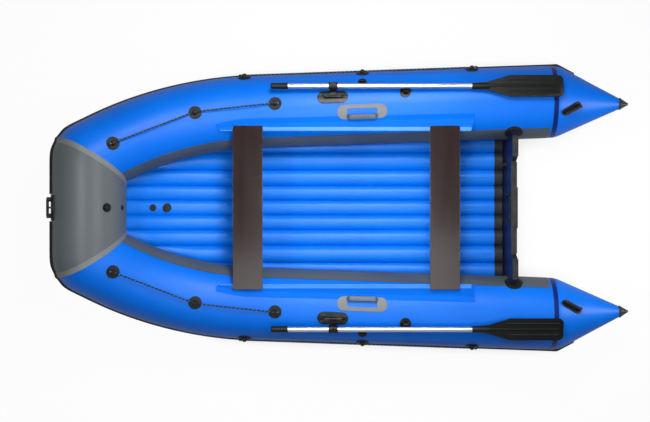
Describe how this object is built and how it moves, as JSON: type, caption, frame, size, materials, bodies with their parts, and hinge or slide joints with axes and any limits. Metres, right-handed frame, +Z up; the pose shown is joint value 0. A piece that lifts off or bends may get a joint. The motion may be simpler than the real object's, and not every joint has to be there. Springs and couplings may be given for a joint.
{
  "type": "inflatable dinghy",
  "caption": "Inflatable motor dinghy with raised bow, tapered stern cones, scalloped air floor, wooden transom, sliding bench seats and stowed oars in swivelling oarlocks.",
  "frame": {"origin": "on the ground, midway along the overall length and on the centre line", "axes": "+X forward toward the bow, +Y to port, +Z up"},
  "size_m": [3.3308, 1.6826, 0.6672],
  "materials": {
    "pvc_blue": "satin",
    "pvc_grey": "satin",
    "black_rubber": "matte",
    "navy_ply": "satin",
    "brown_ply": "gloss",
    "black_plastic": "satin",
    "aluminium": "satin",
    "rope": "matte"
  },
  "bodies": {
    "hull": {"bow_tube": "pvc_grey", "port_bow_tube": "pvc_blue", "starboard_bow_tube": "pvc_blue", "port_side_tube": "pvc_blue", "starboard_side_tube": "pvc_blue", "port_cone": "pvc_blue", "starboard_cone": "pvc_blue", "cone_caps": "black_rubber", "port_strake": "black_rubber", "starboard_strake": "black_rubber", "air_floor": "pvc_blue", "floor_valves": "black_plastic", "transom": "navy_ply", "transom_cap": "black_rubber", "motor_pads": "black_plastic", "transom_holders": "black_rubber", "drain_valve": "black_plastic", "port_seat_rail": "pvc_blue", "starboard_seat_rail": "pvc_blue", "port_oarlock_base": "black_plastic", "starboard_oarlock_base": "black_plastic", "oar_clips": "black_plastic", "tube_valves": "black_plastic", "port_carry_handle": "pvc_grey", "starboard_carry_handle": "pvc_grey", "stern_handles": "black_rubber", "bow_handle": "black_rubber", "port_lifeline_eyes": "black_rubber", "starboard_lifeline_eyes": "black_rubber", "port_lifelines": "rope", "starboard_lifelines": "rope"},
    "fore_seat": {"fore_seat_board": "brown_ply", "fore_seat_channels": "black_plastic"},
    "aft_seat": {"aft_seat_board": "brown_ply", "aft_seat_channels": "black_plastic"},
    "port_oarlock": {"port_oarlock_swivel": "black_plastic"},
    "port_oar": {"port_oarlock_collar": "black_plastic", "port_oar_shaft": "aluminium", "port_oar_grip": "black_plastic", "port_oar_blade": "black_plastic"},
    "starboard_oarlock": {"starboard_oarlock_swivel": "black_plastic"},
    "starboard_oar": {"starboard_oarlock_collar": "black_plastic", "starboard_oar_shaft": "aluminium", "starboard_oar_grip": "black_plastic", "starboard_oar_blade": "black_plastic"}
  },
  "joints": [
    {"name": "fore_seat_slide", "type": "slide", "parent": "hull", "child": "fore_seat", "axis": [1, 0, 0], "range_m": [-0.3, 0.06]},
    {"name": "aft_seat_slide", "type": "slide", "parent": "hull", "child": "aft_seat", "axis": [1, 0, 0], "range_m": [-0.05, 0.5]},
    {"name": "port_oar_lift", "type": "hinge", "parent": "hull", "child": "port_oarlock", "pos_m": [0.054, 0.63377, 0.42588], "axis": [1, 0, 0], "range_deg": [0, 12]},
    {"name": "port_oar_swing", "type": "hinge", "parent": "port_oarlock", "child": "port_oar", "pos_m": [0.054, 0.691, 0.44627], "axis": [0, -0.2588, -0.9659], "range_deg": [0, 110]},
    {"name": "starboard_oar_lift", "type": "hinge", "parent": "hull", "child": "starboard_oarlock", "pos_m": [0.054, -0.63377, 0.42588], "axis": [-1, 0, 0], "range_deg": [0, 12]},
    {"name": "starboard_oar_swing", "type": "hinge", "parent": "starboard_oarlock", "child": "starboard_oar", "pos_m": [0.054, -0.691, 0.44627], "axis": [0, -0.2588, 0.9659], "range_deg": [0, 110]}
  ]
}
